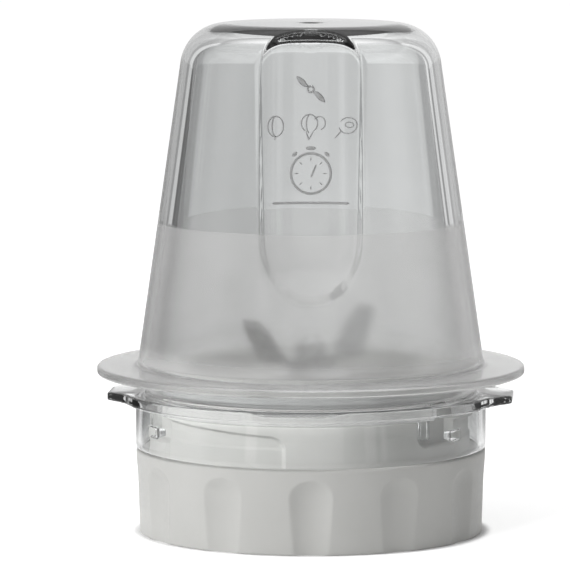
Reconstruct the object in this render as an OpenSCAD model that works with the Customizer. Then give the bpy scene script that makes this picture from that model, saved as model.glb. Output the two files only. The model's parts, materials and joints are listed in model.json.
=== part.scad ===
// Mill attachment for a food processor: an upside-down clear beaker on a fluted blade base,
// joined by a clear locking collar with four tabs. +Z is up, -Y is the front, z 0 is the foot.

/* [Beaker] */
// Diameter over the flange
flange_d = 130; // [126:1:136]
// Thickness of the flange
flange_t = 2.7; // [2.4:0.1:3]
// Height of the flange's underside above the foot
flange_z = 48.3; // [48:0.1:49]
// Diameter of the body where it leaves the flange
body_d = 105.4; // [104:0.2:107]
// Angle of the body's side to the upright
body_angle = 8.2; // [7.5:0.1:9]
// Overall height from the foot to the top of the beaker
total_h = 154.7; // [148:0.1:160]
// Radius between the side and the top
shoulder_r = 13.5; // [11:0.5:15]
// Thickness of the wall at the shoulder and the top
beaker_wall = 4.8; // [4.4:0.1:5.2]
// Radius of the moulding dimple in the top
gate_r = 3.5; // [2:0.5:5]
// Inner radius of the skirt below the flange
skirt_bore_r = 46.2; // [46.1:0.1:46.5]
// Outer radius of the skirt below the flange
skirt_r = 49.7; // [49.5:0.1:49.8]
// Height of the skirt's lower end
skirt_z = 38.3; // [38.2:0.1:38.6]

/* [Finger groove] */
// Width of the groove where it meets the body
groove_w = 30; // [28:1:32]
// Radius of the groove's hollow
groove_r = 30; // [26:1:34]
// Height of the hollow's upper end, past the shoulder that the groove runs out over
groove_top_z = 172; // [170:1:176]
// Height of the groove's lower end
groove_low_z = 82; // [76:1:90]

/* [Locking collar] */
// Outer radius of the collar's wall
collar_r = 53.3; // [53:0.1:53.6]
// Inner radius of the collar's wall
collar_bore_r = 51.2; // [51.1:0.1:51.4]
// Outer radius of the collar's ring
ring_r = 57; // [56:0.5:58]
// Height of the ring's underside
ring_z = 39.8; // [39.7:0.1:40]
// Thickness of the ring
ring_t = 3.1; // [2.8:0.1:3.2]
// Radius at the flat end of a tab
tab_r = 61.5; // [60:0.5:63]
// Width of a tab at its flat end
tab_end_w = 16; // [14:1:18]
// Width of a tab where it leaves the ring
tab_root_w = 30; // [28:1:32]
// Angle of the tabs in the released position
tab_angle = -4.2; // [-6:0.1:-2]

/* [Blade base] */
// Radius of the foot
foot_r = 52.2; // [52:0.1:52.6]
// Radius of the base's upper edge
base_r = 53.2; // [53:0.1:53.6]
// Height of the base's upper face
deck_z = 25.5; // [25:0.1:25.6]
// Number of grip flutes
flutes = 12; // [8:1:14]
// Width of a flute
flute_w = 14.2; // [12:0.2:15]
// Depth of a flute
flute_depth = 2; // [1.5:0.1:2.4]
// Height of a flute's round top
flute_top_z = 22.6; // [20:0.1:23]
// Outer radius of the neck that the collar turns on
neck_r = 49; // [48.8:0.1:49.2]
// Height of the neck's upper edge
neck_z = 37.9; // [37.6:0.1:38]
// Height of the blade carrier's rim
floor_z = 50; // [49.6:0.1:50]
// Height of the dished floor that the blades stand over
dish_z = 44; // [43.8:0.1:44.4]

/* [Bayonet] */
// Angle across a window in the neck
window_w = 20; // [19:0.5:22]
// Height of a window's sill
sill_z = 30.2; // [30:0.1:30.6]
// Angle of a locking track beside its window
track_w = 50.2; // [50:0.1:54]
// Height of a track's lower face
track_z = 31.2; // [31:0.1:31.3]

/* [Blades and drive] */
// Diameter of the drive shaft
shaft_d = 6; // [6:0.1:6.4]
// Distance across the shaft's two flats
flat_w = 4.8; // [4.4:0.1:5]
// Thickness of a blade
blade_t = 1.5; // [1.2:0.1:1.6]
// Length of a raised wing from the centre, measured level
high_wing_l = 26; // [24:1:30]
// Length of a low wing from the centre, measured level
low_wing_l = 31; // [28:1:33]
// Radius at which a raised wing turns up
high_wing_bend = 16; // [14:1:18]
// Lift of the raised wings
high_wing_angle = 50; // [45:1:60]
// Drop of the low wings
low_wing_angle = 3; // [0:1:4]

/* [Hidden] */
$fn = 96;
eps = 0.01;
big = 200;
fit = 0.05;

// Colours of the moulded and metal parts
grey = "#cfcfcb";
clear = [0.82, 0.84, 0.84, 0.5];
steel = "#b9bcbe";
brass = "#b99a55";
rubber = "#8f9190";

// Directions of the repeated features, counted from +X
window_starts = [for (k = [0:2]) 40.4 - 90 + 120 * k];
tab_angles = [for (k = [0:3]) tab_angle + 90 * k];
screw_angles = [for (k = [0:3]) 45 + 90 * k];

// Beaker
flange_top = flange_z + flange_t;
flange_edge_r = 0.8;
body_r = body_d / 2;
shoulder_z = total_h - shoulder_r;
side_run = tan(body_angle);
shoulder_c = body_r - (shoulder_z - flange_top) * side_run - shoulder_r / cos(body_angle);
cavity_z = flange_top - 1.5;
cavity_shoulder_r = shoulder_r - beaker_wall;
cavity_run = [skirt_bore_r - shoulder_c, cavity_z - shoulder_z];
cavity_angle = atan2(cavity_run[1], cavity_run[0]) + acos(cavity_shoulder_r / norm(cavity_run));
bead_r = 50.85;
bead_h = 1.2;
skirt_shoulder_r = 50.5;
skirt_shoulder_z = 43.2;
dimple_depth = 0.5;
key_w = 4.4;
key_gap = 0.6;
key_z = 32.4;
key_r = 48.9;
notch_start = 5.3;
notch_w = 14.5;
notch_top_z = 42.9;

// Finger groove, whose axis lies along the body's side
groove_depth_c = sqrt(pow(groove_r, 2) - pow(groove_w / 2, 2));
groove_high_z = groove_top_z - groove_w / 2;
groove_foot_z = groove_low_z + groove_w / 2;
function side_r(z) = body_r - (z - flange_top) * side_run;
function groove_y(z) = sqrt(pow(side_r(z), 2) - pow(groove_w / 2, 2)) + groove_depth_c;

// Collar
collar_foot_z = deck_z + 0.3;
collar_edge_r = 0.9;
ring_bore_r = skirt_r + 0.35;
tab_inset = 0.3;
nib_start = 53.3 - 90;
nib_w = 5;
nib_z = 31.6;
nib_h = 2.6;
nib_r = 48.3;

// Base
shell_wall = 4.2;
web_z = 23;
web_hole_r = 20;
hub_wall_r = 23;
hub_wall_z = 12;
rib_t = 1.8;
rib_z = 15;
rib_count = 8;
neck_bore_r = 45.4;
track_floor_r = 47.9;
track_relief_r = 48.4;
relief_inset = 0.3;
roof_slope = 3.5;
roof_mid_z = 35.8;
flute_sag = flute_depth - (base_r - sqrt(pow(base_r, 2) - pow(flute_w / 2, 2)));
flute_r = (pow(flute_w / 2, 2) + pow(flute_sag, 2)) / (2 * flute_sag);
flute_turn_z = flute_top_z - sqrt(2 * flute_r * flute_depth - pow(flute_depth, 2));
screw_pcd_r = 36;
screw_r = 1.75;
screw_len = 12;
screw_head_r = 3.4;
screw_head_h = 2;
screw_socket_r = 1.3;

// Blade carrier
plug_r = 45;
plug_wall = 2.6;
plug_floor_t = 2.6;
seal_z = 43;
seal_h = 3.4;
seal_inner_r = 43.4;
post_r = 5;
dish_r = 36;
dish_flare = 3.4;
pad_r = 17;
pad_h = 0.8;

// Bearing housing
housing_r = 7.9;
housing_flange_r = 12.5;
housing_flange_t = 1.4;
gasket_t = 0.8;
housing_top_z = dish_z + pad_h + gasket_t + 3;
housing_low_z = 29;
bush_r = 5;
bush_h = 7;
housing_lip = 0.8;
seal_len = 2.2;
nut_af = 22;
nut_h = 4;

// Rotor
shaft_r = shaft_d / 2;
shaft_low_z = 13.6;
rotor_gap = 0.3;
washer_t = 0.5;
washer_r = 5.5;
stack_z = housing_top_z + rotor_gap;
low_blade_z = stack_z + washer_t;
spacer_z = low_blade_z + blade_t;
spacer_t = 1;
high_blade_z = spacer_z + spacer_t;
spring_z = high_blade_z + blade_t;
spring_t = 0.6;
blade_nut_z = spring_z + spring_t;
blade_nut_h = 3;
blade_dome_h = 2.2;
blade_nut_af = 8;
thread_r = 2.3;
hub_r = 7.5;
wing_w = 12;
wing_skin = 0.05;
high_wing_turn = 45;
low_wing_turn = -82;
flat_low_z = low_blade_z - 0.2;
clip_z = housing_low_z - rotor_gap - washer_t - 0.9;
clip_t = 0.8;
clip_groove_r = 2.4;
coupling_z = 5;
coupling_h = 15;
coupling_r = 11;
coupling_edge = 1;
socket_r = 6;
socket_depth = 8;
key_slot_w = 2;
key_slot_r = 8;
core_r = 4.6;
core_z = 14.5;
core_h = 7.5;
pin_r = 1;
pin_z = 17.5;

// A plain ring
module ring(inner_r, outer_r, h) {
    difference() {
        cylinder(r = outer_r, h = h);
        translate([0, 0, -eps]) cylinder(r = inner_r, h = h + 2 * eps);
    }
}

// A piece of a ring that starts at angle a and covers angle w
module sector(a, w, inner_r, outer_r, z0, z1) {
    rotate([0, 0, a]) rotate_extrude(angle = w)
        translate([inner_r, z0]) square([outer_r - inner_r, z1 - z0]);
}

// A round bar with two flats
module flatted_bar(r, across, h) {
    intersection() {
        cylinder(r = r, h = h);
        translate([-r, -across / 2, 0]) cube([2 * r, across, h]);
    }
}

// A hexagonal nut blank
module hex_blank(across, h) {
    cylinder(r = across / 2 / cos(30), h = h, $fn = 6);
}

// Points of an arc about c, from angle a0 to angle a1
function arc(c, r, a0, a1, n = 8) =
    [for (i = [0:n]) let (a = a0 + (a1 - a0) * i / n) [c[0] + r * cos(a), c[1] + r * sin(a)]];

// Outline of the body's side and top
function body_outline(low_z) = concat(
    [[0, low_z], [side_r(low_z), low_z]],
    arc([shoulder_c, shoulder_z], shoulder_r, body_angle, 90, 10),
    [[0, total_h]]);

// Outline of the hollow: the skirt's bore, a straight draft up to the shoulder, and the ceiling
function cavity_outline() = concat(
    [[0, skirt_z - 1], [skirt_bore_r, skirt_z - 1], [skirt_bore_r, cavity_z]],
    arc([shoulder_c, shoulder_z], cavity_shoulder_r, cavity_angle, 90, 10),
    [[0, total_h - beaker_wall]]);

// The groove's round-ended hollow, grown by t
module groove_form(t) {
    r = groove_r + t;
    low = [0, -groove_y(groove_foot_z), groove_foot_z];
    high = [0, -groove_y(groove_high_z), groove_high_z];
    translate(low) rotate([atan2(low[1] - high[1], high[2] - low[2]), 0, 0])
        rotate_extrude() polygon(concat(
            arc([0, 0], r, -90, 0, 12),
            arc([0, norm(high - low)], r, 0, 90, 12)));
}

module beaker_outside() {
    rotate_extrude() polygon(body_outline(flange_top - 1));
    edge_c = flange_d / 2 - flange_edge_r;
    rotate_extrude() polygon(concat(
        [[0, skirt_z], [bead_r, skirt_z], [bead_r, skirt_z + bead_h], [skirt_r, skirt_z + bead_h],
         [skirt_r, skirt_shoulder_z], [skirt_shoulder_r, skirt_shoulder_z], [skirt_shoulder_r, flange_z]],
        arc([edge_c, flange_z + flange_edge_r], flange_edge_r, -90, 0, 3),
        arc([edge_c, flange_top - flange_edge_r], flange_edge_r, 0, 90, 3),
        [[0, flange_top]]));
}

module beaker() {
    color(clear) {
        difference() {
            beaker_outside();
            difference() {
                rotate_extrude() polygon(cavity_outline());
                groove_form(beaker_wall);
            }
            groove_form(0);
            translate([0, 0, total_h - dimple_depth]) cylinder(r = gate_r, h = 1);
            for (a = window_starts)
                sector(a + notch_start, notch_w, skirt_bore_r - 1, bead_r + 1, skirt_z - 1, notch_top_z);
        }
        for (a = window_starts)
            sector(a + key_gap, key_w, skirt_bore_r + 0.1, key_r, key_z, skirt_z + bead_h / 2);
    }
}

module tab_outline() {
    flare = 4;
    root = ring_r - 3;
    polygon([[root, -tab_root_w / 2 - flare], [ring_r - 1, -tab_root_w / 2 - 1], [ring_r, -tab_root_w / 2],
             [tab_r, -tab_end_w / 2], [tab_r, tab_end_w / 2],
             [ring_r, tab_root_w / 2], [ring_r - 1, tab_root_w / 2 + 1], [root, tab_root_w / 2 + flare]]);
}

module locking_collar() {
    color(clear) {
        difference() {
            union() {
                rotate_extrude() polygon(concat(
                    [[collar_bore_r, ring_z + 1], [collar_bore_r, collar_foot_z]],
                    arc([collar_r - collar_edge_r, collar_foot_z + collar_edge_r], collar_edge_r, -90, 0, 4),
                    [[collar_r, ring_z + 1]]));
                translate([0, 0, ring_z]) ring(ring_bore_r, ring_r, ring_t);
                for (a = tab_angles)
                    rotate([0, 0, a]) translate([0, 0, ring_z + tab_inset])
                        linear_extrude(ring_t - 2 * tab_inset) tab_outline();
            }
            translate([0, 0, ring_z - eps]) cylinder(r = ring_bore_r, h = ring_t + 1);
        }
        for (k = [0:2])
            sector(nib_start + 120 * k, nib_w, nib_r, collar_bore_r + 0.5, nib_z, nib_z + nib_h);
    }
}

// A concave flute with a round upper end
module flute() {
    translate([base_r - flute_depth + flute_r, 0, 0]) rotate_extrude() polygon(concat(
        [[0, -1], [flute_r, -1]],
        arc([0, flute_turn_z], flute_r, 0, 40, 5),
        [[0, flute_top_z + 1]]));
}

// A locking track beside the window at angle a, under a roof that falls as the collar turns
module track(a) {
    turn = a + window_w + track_w / 2;
    intersection() {
        sector(a + window_w - 1, track_w + 1, track_floor_r, neck_r + 1, track_z, neck_z + 1);
        rotate([0, 0, turn]) translate([0, 0, roof_mid_z]) rotate([-roof_slope, 0, 0])
            translate([track_floor_r - 20, -40, -20]) cube([30, 80, 20]);
    }
    sector(a + window_w + relief_inset, track_w - 2 * relief_inset, track_relief_r, neck_r + 1,
           deck_z + relief_inset, track_z + relief_inset);
}

module base_shell() {
    color(grey) difference() {
        union() {
            cylinder(r1 = foot_r, r2 = base_r, h = deck_z);
            cylinder(r = neck_r, h = neck_z);
        }
        translate([0, 0, -1]) cylinder(r = base_r - shell_wall - 1, h = rib_z + 1);
        difference() {
            translate([0, 0, rib_z - eps]) cylinder(r = base_r - shell_wall - 1, h = web_z - rib_z + eps);
            for (k = [0:rib_count - 1])
                rotate([0, 0, 360 / rib_count * k])
                    translate([hub_wall_r - 1, -rib_t / 2, 0]) cube([base_r - hub_wall_r, rib_t, deck_z]);
            translate([0, 0, rib_z - 1]) ring(web_hole_r, hub_wall_r, deck_z);
        }
        translate([0, 0, -1]) cylinder(r = web_hole_r, h = big);
        translate([0, 0, deck_z]) cylinder(r = neck_bore_r, h = big);
        for (k = [0:flutes - 1]) rotate([0, 0, 360 / flutes * k - 90]) flute();
        for (a = window_starts) {
            sector(a, window_w, neck_bore_r - 1, neck_r + 1, sill_z, neck_z + 1);
            track(a);
        }
        for (a = screw_angles)
            rotate([0, 0, a + 360 / rib_count / 2]) translate([screw_pcd_r, 0, 0])
                cylinder(r = screw_r + fit, h = deck_z + 1);
    }
    color(grey) translate([0, 0, hub_wall_z]) ring(web_hole_r, hub_wall_r, rib_z - hub_wall_z + 1);
}

module blade_carrier() {
    color(grey) difference() {
        union() {
            difference() {
                translate([0, 0, deck_z]) cylinder(r = plug_r, h = floor_z - deck_z);
                translate([0, 0, deck_z - 1])
                    cylinder(r = plug_r - plug_wall, h = dish_z - plug_floor_t - deck_z + 1);
                translate([0, 0, dish_z])
                    cylinder(r1 = dish_r, r2 = dish_r + dish_flare, h = floor_z - dish_z + 1);
            }
            translate([0, 0, dish_z - plug_floor_t]) cylinder(r = pad_r, h = plug_floor_t + pad_h);
            for (a = screw_angles)
                rotate([0, 0, a + 360 / rib_count / 2]) translate([screw_pcd_r, 0, deck_z])
                    cylinder(r = post_r, h = dish_z - deck_z - 1);
        }
        translate([0, 0, seal_z]) ring(seal_inner_r, plug_r + 1, seal_h);
        cylinder(r = housing_r + fit, h = big);
        for (a = screw_angles)
            rotate([0, 0, a + 360 / rib_count / 2]) translate([screw_pcd_r, 0, deck_z - 1])
                cylinder(r = screw_r + fit, h = screw_len + 1);
    }
}

module carrier_screws() {
    color(steel) for (a = screw_angles)
        rotate([0, 0, a + 360 / rib_count / 2]) translate([screw_pcd_r, 0, web_z]) {
            difference() {
                translate([0, 0, -screw_head_h]) cylinder(r = screw_head_r, h = screw_head_h);
                translate([0, 0, -screw_head_h - 1]) cylinder(r = screw_socket_r, h = 2.2, $fn = 6);
            }
            cylinder(r = screw_r, h = screw_len);
        }
}

module bearing_housing() {
    seat_z = dish_z + pad_h + gasket_t;
    color(steel) difference() {
        union() {
            translate([0, 0, housing_low_z]) cylinder(r = housing_r, h = seat_z - housing_low_z);
            translate([0, 0, seat_z]) cylinder(r = housing_flange_r, h = housing_flange_t);
            translate([0, 0, seat_z + housing_flange_t])
                cylinder(r1 = housing_r + 1, r2 = housing_r - 1.4,
                         h = housing_top_z - seat_z - housing_flange_t);
        }
        cylinder(r = shaft_r + 0.6, h = big);
        translate([0, 0, housing_low_z - 1])
            cylinder(r = bush_r, h = housing_top_z - housing_lip - housing_low_z + 1);
    }
}

module housing_gasket() {
    color(rubber) translate([0, 0, dish_z + pad_h]) ring(housing_r + fit, housing_flange_r - 0.6, gasket_t);
}

module housing_nut() {
    color(steel) translate([0, 0, dish_z - plug_floor_t - nut_h]) difference() {
        hex_blank(nut_af, nut_h);
        translate([0, 0, -1]) cylinder(r = housing_r + fit, h = nut_h + 2);
    }
}

module bush(z) {
    color(brass) translate([0, 0, z]) ring(shaft_r + fit, bush_r, bush_h);
}

module upper_bush() {
    bush(housing_top_z - housing_lip - seal_len - bush_h);
}

module lower_bush() {
    bush(housing_low_z);
}

module shaft_seal() {
    color(rubber) translate([0, 0, housing_top_z - housing_lip - seal_len])
        ring(shaft_r + fit, bush_r, seal_len);
}

module beaker_seal() {
    lip = 0.9;
    color(rubber) translate([0, 0, seal_z]) {
        ring(seal_inner_r, plug_r + 0.2, seal_h);
        translate([0, 0, (seal_h - lip) / 2]) ring(plug_r - 0.5, skirt_bore_r - 0.1, lip);
    }
}

module drive_shaft() {
    nut_top = blade_nut_z + blade_nut_h;
    color(steel) difference() {
        union() {
            translate([0, 0, shaft_low_z]) cylinder(r = shaft_r, h = flat_low_z - shaft_low_z);
            translate([0, 0, flat_low_z]) flatted_bar(shaft_r, flat_w, blade_nut_z - flat_low_z);
            translate([0, 0, blade_nut_z - 1]) cylinder(r = thread_r, h = nut_top - blade_nut_z + 1);
        }
        translate([0, 0, clip_z]) ring(clip_groove_r, shaft_r + 1, clip_t);
        translate([-big / 2, 0, pin_z]) rotate([0, 90, 0]) cylinder(r = pin_r + fit, h = big);
    }
}

module shaft_washer(z) {
    color(steel) translate([0, 0, z]) ring(shaft_r + fit, washer_r, washer_t);
}

module thrust_washer_top() {
    shaft_washer(stack_z);
}

module thrust_washer_bottom() {
    shaft_washer(clip_z + clip_t + 0.1);
}

module retaining_clip() {
    color(steel) translate([0, 0, clip_z + fit]) difference() {
        ring(clip_groove_r + fit, washer_r - 0.5, clip_t - 2 * fit);
        translate([0, -1.9, -1]) cube([washer_r, 3.8, clip_t + 2]);
    }
}

// Plan of a wing from the centre to the tip, with its cutting edge on one side
module wing_outline(length) {
    side = wing_w / 2;
    polygon([[0, -side], [length * 0.6, -side - 0.6], [length, -side + 3.7],
             [length, side - 1], [length - 3, side], [0, side]]);
}

// Side view of a wing: level as far as bend, then lifted
module wing_profile(length, bend, lift) {
    low = wing_skin;
    top = blade_t - wing_skin;
    far = length + 1;
    rise = (far - bend) * tan(lift);
    shift = (top - low) / cos(lift);
    inner_bend = bend - (top - low) * tan(lift / 2);
    polygon([[0, low], [bend, low], [far, low + rise], [far, low + rise + shift],
             [inner_bend, top], [0, top]]);
}

// A two-winged blade whose wings lie at angle turn
module blade(z, turn, length, bend, lift) {
    color(steel) translate([0, 0, z]) difference() {
        union() {
            cylinder(r = hub_r, h = blade_t);
            for (side = [0, 180])
                rotate([0, 0, turn + side]) intersection() {
                    rotate([90, 0, 0])
                        linear_extrude(2 * wing_w, center = true) wing_profile(length, bend, lift);
                    translate([0, 0, -big / 2]) linear_extrude(big) wing_outline(length);
                }
        }
        translate([0, 0, -1]) flatted_bar(shaft_r + fit, flat_w + 2 * fit, blade_t + 2);
    }
}

module lower_blade() {
    blade(low_blade_z, low_wing_turn, low_wing_l, hub_r, -low_wing_angle);
}

module blade_spacer() {
    color(steel) translate([0, 0, spacer_z]) difference() {
        cylinder(r = washer_r, h = spacer_t);
        translate([0, 0, -1]) flatted_bar(shaft_r + fit, flat_w + 2 * fit, spacer_t + 2);
    }
}

module upper_blade() {
    blade(high_blade_z, high_wing_turn, high_wing_l, high_wing_bend, high_wing_angle);
}

module spring_washer() {
    color(steel) translate([0, 0, spring_z]) ring(shaft_r + fit, washer_r - 0.8, spring_t);
}

module blade_nut() {
    color(steel) translate([0, 0, blade_nut_z]) difference() {
        union() {
            hex_blank(blade_nut_af, blade_nut_h);
            translate([0, 0, blade_nut_h]) cylinder(r1 = blade_nut_af / 2 - 0.4, r2 = 2, h = blade_dome_h);
        }
        translate([0, 0, -1]) cylinder(r = thread_r + fit, h = blade_nut_h + 1.2);
    }
}

module coupling_core() {
    color(steel) translate([0, 0, core_z]) difference() {
        hex_blank(2 * core_r, core_h);
        translate([0, 0, -1]) cylinder(r = shaft_r + fit, h = core_h + 2);
        translate([-big / 2, 0, pin_z - core_z]) rotate([0, 90, 0]) cylinder(r = pin_r + fit, h = big);
    }
}

module coupling_pin() {
    length = 2 * core_r - 0.6;
    color(steel) translate([-length / 2, 0, pin_z]) rotate([0, 90, 0]) cylinder(r = pin_r, h = length);
}

module drive_coupling() {
    color("#3b3c3e") translate([0, 0, coupling_z]) difference() {
        union() {
            cylinder(r1 = coupling_r - coupling_edge, r2 = coupling_r, h = coupling_edge);
            translate([0, 0, coupling_edge]) cylinder(r = coupling_r, h = coupling_h - coupling_edge);
            translate([0, 0, coupling_h]) cylinder(r1 = coupling_r, r2 = core_r + 2, h = 2);
        }
        translate([0, 0, -1]) cylinder(r = socket_r, h = socket_depth + 1);
        for (k = [0:3])
            rotate([0, 0, 90 * k]) translate([0, -key_slot_w / 2, -1])
                cube([key_slot_r, key_slot_w, socket_depth + 1]);
        translate([0, 0, core_z - coupling_z]) hex_blank(2 * core_r + 2 * fit, core_h + 1);
        cylinder(r = shaft_r + 0.3, h = coupling_h);
    }
}

base_shell();
blade_carrier();
carrier_screws();
bearing_housing();
housing_gasket();
housing_nut();
upper_bush();
lower_bush();
shaft_seal();
beaker_seal();
drive_shaft();
thrust_washer_top();
lower_blade();
blade_spacer();
upper_blade();
spring_washer();
blade_nut();
thrust_washer_bottom();
retaining_clip();
coupling_core();
coupling_pin();
drive_coupling();
beaker();
locking_collar();
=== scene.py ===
import json
import math

import bmesh
import bpy
import numpy as np
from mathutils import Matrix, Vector


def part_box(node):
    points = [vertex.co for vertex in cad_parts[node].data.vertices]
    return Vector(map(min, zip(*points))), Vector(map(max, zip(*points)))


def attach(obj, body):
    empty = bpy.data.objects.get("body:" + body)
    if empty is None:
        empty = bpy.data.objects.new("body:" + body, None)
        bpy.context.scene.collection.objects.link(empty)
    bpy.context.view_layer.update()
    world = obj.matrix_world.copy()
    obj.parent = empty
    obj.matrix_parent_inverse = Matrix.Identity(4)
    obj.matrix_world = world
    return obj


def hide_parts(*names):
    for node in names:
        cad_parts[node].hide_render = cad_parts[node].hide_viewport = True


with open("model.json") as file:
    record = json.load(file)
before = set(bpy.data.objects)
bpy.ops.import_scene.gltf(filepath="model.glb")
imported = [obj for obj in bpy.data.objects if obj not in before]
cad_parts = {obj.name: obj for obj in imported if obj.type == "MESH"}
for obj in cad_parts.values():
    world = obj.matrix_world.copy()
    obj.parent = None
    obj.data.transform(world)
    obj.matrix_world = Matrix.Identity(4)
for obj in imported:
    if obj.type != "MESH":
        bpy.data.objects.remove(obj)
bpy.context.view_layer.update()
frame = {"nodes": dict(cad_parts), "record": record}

MM = 0.001
FRONT = -math.pi / 2
THIRD = math.tau / 3


# ---------------------------------------------------------------- dimensions
# Lengths are in millimetres and angles in radians, except where a docstring says otherwise. _R is a
# radius, _Z a height above the table, _W a width, _H or _T a height or thickness.
def box_mm(node):
    """Lowest and highest corners of a CAD node, in millimetres."""
    low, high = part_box(node)
    return np.array(low) / MM, np.array(high) / MM


beaker_low, beaker_high = box_mm("beaker")
collar_low, collar_high = box_mm("locking_collar")
_, base_high = box_mm("base_shell")

FLANGE_R = beaker_high[0]
TOP_Z = beaker_high[2]
KEY_Z = beaker_low[2]
FLANGE_Z, FLANGE_T = 48.3, 2.7
FLANGE_TOP = FLANGE_Z + FLANGE_T
BODY_R = 52.7
BODY_SLOPE = math.tan(math.radians(8.2))
WALL = 4.8
SHOULDER_R = 13.5
SKIRT_Z, SKIRT_R, SKIRT_BORE_R = 38.3, 49.7, 46.2
SKIRT_SHOULDER_R, SKIRT_SHOULDER_Z = 50.5, 43.2
BEAD_R, BEAD_H = 50.85, 1.2
TONGUE_GAP, TONGUE_W = math.radians(0.6), math.radians(4.4)
FROST_Z = 94.6

GROOVE_R, GROOVE_W = 30.0, 30.0
GROOVE_LOW_Z, GROOVE_TOP_Z = 82.0, 172.0

COLLAR_R, COLLAR_BORE_R = 53.3, 51.2
COLLAR_FOOT_Z = collar_low[2]
RING_R, RING_BORE_R = 57.0, SKIRT_R + 0.35
RING_TOP_Z = collar_high[2]
RING_T = 3.1
RING_Z = RING_TOP_Z - RING_T
TAB_R, TAB_END_W, TAB_ROOT_W = 61.5, 16.0, 30.2
TAB_ANGLE = math.radians(-4.2)
NIB_START, NIB_W = math.radians(53.3) + FRONT, math.radians(5)
NIB_R, NIB_Z, NIB_H = 48.3, 31.6, 2.6

NECK_TOP_Z = base_high[2]
BASE_R, FOOT_R = base_high[0], 52.2
DECK_Z, NECK_R, NECK_BORE_R = 25.5, 49.0, 45.4
WINDOW_START, WINDOW_W = math.radians(40.4) + FRONT, math.radians(20)
SILL_Z, TRACK_Z, TRACK_W = 30.2, 31.2, math.radians(50.2)


# ---------------------------------------------------------------- outlines
def arc(centre, radius, start, end, steps):
    """Points of an arc in a (radius, height) outline, with angles in degrees."""
    turns = np.radians(np.linspace(start, end, steps + 1))
    return [(centre[0] + radius * math.cos(t), centre[1] + radius * math.sin(t)) for t in turns]


def rounded(corners, steps=5):
    """A polyline whose corners (r, z, fillet) are rounded by arcs."""
    out = []
    count = len(corners)
    for i, (r, z, fillet) in enumerate(corners):
        here = Vector((r, z))
        if fillet == 0 or i in (0, count - 1):
            out.append((r, z))
            continue
        before = (Vector(corners[i - 1][:2]) - here).normalized()
        after = (Vector(corners[i + 1][:2]) - here).normalized()
        half = before.angle(after) / 2
        reach = fillet / math.tan(half)
        centre = here + (before + after).normalized() * (fillet / math.sin(half))
        start, end = here + before * reach, here + after * reach
        for k in range(steps + 1):
            point = start.lerp(end, k / steps) - centre
            out.append(tuple(centre + point.normalized() * fillet))
    return out


def refined(points, step):
    """The polyline with no stretch longer than step."""
    out = [points[0]]
    for a, b in zip(points, points[1:]):
        pieces = max(1, math.ceil(math.dist(a, b) / step))
        for k in range(1, pieces + 1):
            out.append((a[0] + (b[0] - a[0]) * k / pieces, a[1] + (b[1] - a[1]) * k / pieces))
    return out


def body_r(z):
    """Radius of the beaker's cone at height z."""
    return BODY_R - (z - FLANGE_TOP) * BODY_SLOPE


# ---------------------------------------------------------------- meshes
EDGE_BEVEL = 0.15


def mesh_object(name, points_mm, faces, body, stands_for=()):
    """A smooth mesh piece from points in millimetres, riding on a body."""
    mesh = bpy.data.meshes.new(name)
    mesh.from_pydata((np.asarray(points_mm) * MM).tolist(), [], faces)
    mesh.shade_smooth()
    piece = bpy.data.objects.new(name, mesh)
    bpy.context.scene.collection.objects.link(piece)
    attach(piece, body)
    if stands_for:
        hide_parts(*stands_for)
    return piece


def spun(outline, angles, shape=None):
    """Rows of points made by turning an outline to each angle. shape moves the whole grid at once.

    The result is an array of rows by columns by xyz."""
    r = np.array([p[0] for p in outline])[:, None]
    z = np.array([p[1] for p in outline])[:, None]
    turn = np.asarray(angles)[None, :]
    r, z = np.broadcast_to(r, (len(outline), turn.size)), np.broadcast_to(z, (len(outline), turn.size))
    if shape:
        r, z = shape(r, z, np.broadcast_to(turn, r.shape))
    return np.stack([r * np.cos(turn), r * np.sin(turn), z], axis=-1)


def grid_faces(rows, columns):
    """Quads over a grid that closes on itself along its rows and its columns."""
    faces = []
    for i in range(rows):
        up = (i + 1) % rows
        for j in range(columns):
            k = (j + 1) % columns
            faces.append((i * columns + j, i * columns + k, up * columns + k, up * columns + j))
    return faces


def outward(mesh):
    """Turns the faces outwards and joins points that lie on the axis."""
    work = bmesh.new()
    work.from_mesh(mesh)
    bmesh.ops.remove_doubles(work, verts=work.verts, dist=1e-7)
    bmesh.ops.recalc_face_normals(work, faces=work.faces)
    work.to_mesh(mesh)
    work.free()
    mesh.shade_smooth()


def turned_piece(name, outline, angles, body, stands_for, shape):
    """A solid of revolution with a closed outline, reshaped by shape, as a piece."""
    grid = spun(outline, angles, shape)
    faces = grid_faces(len(outline), len(angles))
    piece = mesh_object(name, grid.reshape(-1, 3), faces, body, stands_for)
    outward(piece.data)
    return piece


def even_angles(count):
    """Angles round the full circle, evenly apart."""
    return np.linspace(-math.pi, math.pi, count, endpoint=False)


def crowded_angles(count, centre, crowding):
    """Angles round the full circle, closer together about centre."""
    u = even_angles(count)
    return centre + u - crowding * np.sin(u)


def smooth_min(a, b, blend):
    """The lower of a and b, rounded where they meet."""
    mix = np.maximum(blend - np.abs(a - b), 0) / blend
    return np.minimum(a, b) - mix * mix * blend / 4


def smooth_max(a, b, blend):
    """The higher of a and b, rounded where they meet."""
    return -smooth_min(-a, -b, blend)


def eased(value, edge):
    """0 below -edge / 2, 1 above edge / 2, and a smooth step between."""
    t = np.clip(value / edge + 0.5, 0, 1)
    return t * t * (3 - 2 * t)


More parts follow.
